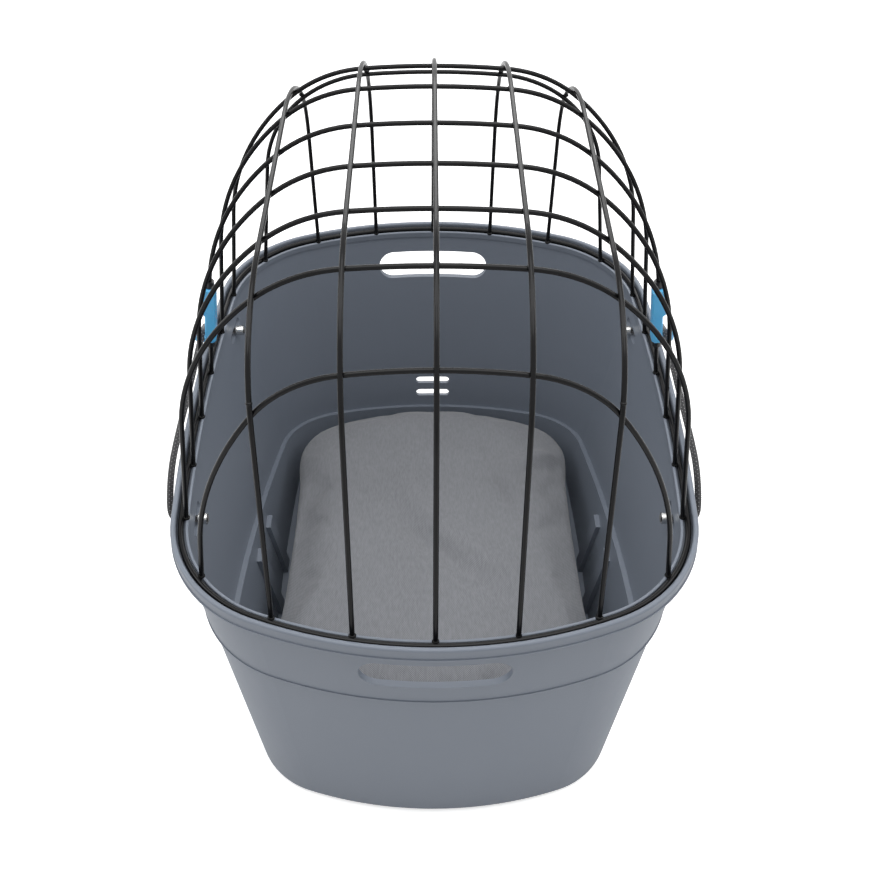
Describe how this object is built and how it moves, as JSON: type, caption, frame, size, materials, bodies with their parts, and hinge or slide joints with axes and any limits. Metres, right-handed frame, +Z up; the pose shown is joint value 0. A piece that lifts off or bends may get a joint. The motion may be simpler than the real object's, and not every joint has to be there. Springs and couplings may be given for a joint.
{
  "type": "bicycle pet basket",
  "caption": "Bicycle pet basket: a tapered plastic tub with a padded cushion, closed by a domed wire cage whose side hooks are held down by elastic cords.",
  "frame": {"origin": "on the ground, under the middle of the tub's rim", "axes": "+Z up, +Y to the back, where the tub's wall has its two vents"},
  "size_m": [0.3648, 0.454, 0.4336],
  "materials": {
    "tub_plastic": "satin",
    "cushion_fabric": "woven",
    "cage_wire": "gloss",
    "hook_plastic": "gloss",
    "cord_fabric": "braided",
    "stop_plastic": "satin",
    "ferrule_metal": "crimped"
  },
  "bodies": {
    "tub": {"tub": "tub_plastic", "cord_ferrules": "ferrule_metal", "elastic_cord_left": "cord_fabric", "elastic_cord_right": "cord_fabric"},
    "cushion": {"cushion": "cushion_fabric"},
    "cage": {"base_ring": "cage_wire", "long_wire_1": "cage_wire", "long_wire_2": "cage_wire", "long_wire_3": "cage_wire", "long_wire_4": "cage_wire", "long_wire_5": "cage_wire", "arch_wire_1": "cage_wire", "arch_wire_2": "cage_wire", "arch_wire_3": "cage_wire", "arch_wire_4": "cage_wire", "arch_wire_5": "cage_wire", "arch_wire_6": "cage_wire", "arch_wire_7": "cage_wire", "arch_wire_8": "cage_wire", "hook_stops": "stop_plastic"},
    "hook_left": {"hook_left": "hook_plastic"},
    "hook_right": {"hook_right": "hook_plastic"}
  },
  "joints": [
    {"name": "cage_lift", "type": "slide", "parent": "tub", "child": "cage", "axis": [0, 0, 1], "range_m": [0, 0.04], "deforming": ["elastic_cord_left", "elastic_cord_right"]},
    {"name": "cushion_lift", "type": "slide", "parent": "tub", "child": "cushion", "axis": [0, 0, 1], "range_m": [0, 0.06]},
    {"name": "hook_left_turn", "type": "hinge", "parent": "cage", "child": "hook_left", "pos_m": [-0.16848, 0.0266, 0.222], "axis": [0.1219, 0, 0.9925], "range_deg": [-20, 20]},
    {"name": "hook_right_turn", "type": "hinge", "parent": "cage", "child": "hook_right", "pos_m": [0.16848, 0.0266, 0.222], "axis": [-0.1219, 0, 0.9925], "range_deg": [-20, 20]}
  ]
}
